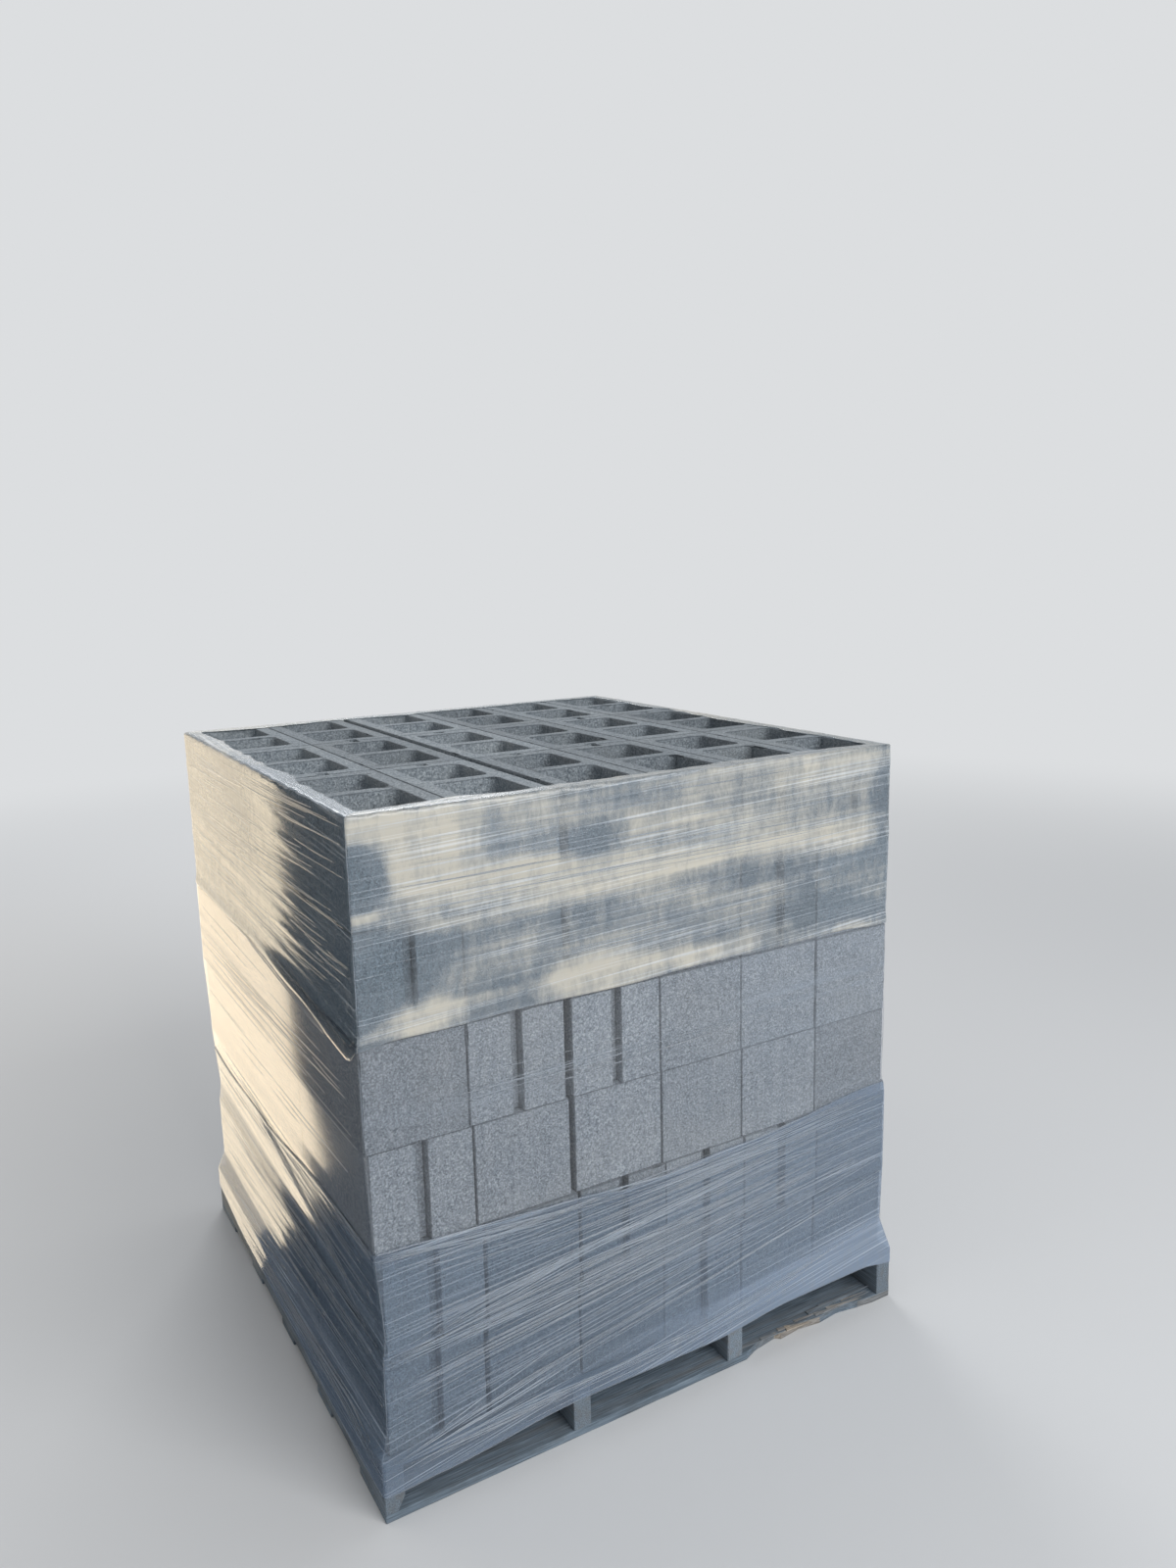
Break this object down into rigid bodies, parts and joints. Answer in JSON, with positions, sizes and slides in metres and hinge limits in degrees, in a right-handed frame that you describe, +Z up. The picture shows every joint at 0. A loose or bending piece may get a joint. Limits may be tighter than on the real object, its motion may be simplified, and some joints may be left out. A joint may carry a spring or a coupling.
{
  "type": "pallet of concrete blocks",
  "caption": "Cube of hollow concrete blocks stacked in courses on a timber pallet and held by clear stretch wrap.",
  "frame": {"origin": "middle of the pallet's footprint, on the ground", "axes": "+X along the front to the right, +Y into the depth along the blocks and the stringers, +Z up"},
  "size_m": [1.2224, 1.2224, 1.2827],
  "materials": {
    "concrete": "rough, finely pitted grey",
    "stringer_wood": "rough sawn, weathered",
    "board_wood": "rough sawn, weathered",
    "stretch_film": "clear, creased, slightly hazy"
  },
  "bodies": {
    "root": {"block_course_1": "concrete", "block_course_2": "concrete", "block_course_3": "concrete", "block_course_4": "concrete", "block_course_5": "concrete", "block_course_6": "concrete", "stringer_1": "stringer_wood", "stringer_2": "stringer_wood", "stringer_3": "stringer_wood", "stringer_4": "stringer_wood", "deck_board_1": "board_wood", "deck_board_2": "board_wood", "deck_board_3": "board_wood", "deck_board_4": "board_wood", "deck_board_5": "board_wood", "deck_board_6": "board_wood", "deck_board_7": "board_wood", "bottom_board_1": "board_wood", "bottom_board_2": "board_wood", "bottom_board_3": "board_wood", "bottom_board_4": "board_wood", "bottom_board_5": "board_wood", "stretch_wrap": "stretch_film"}
  },
  "joints": []
}
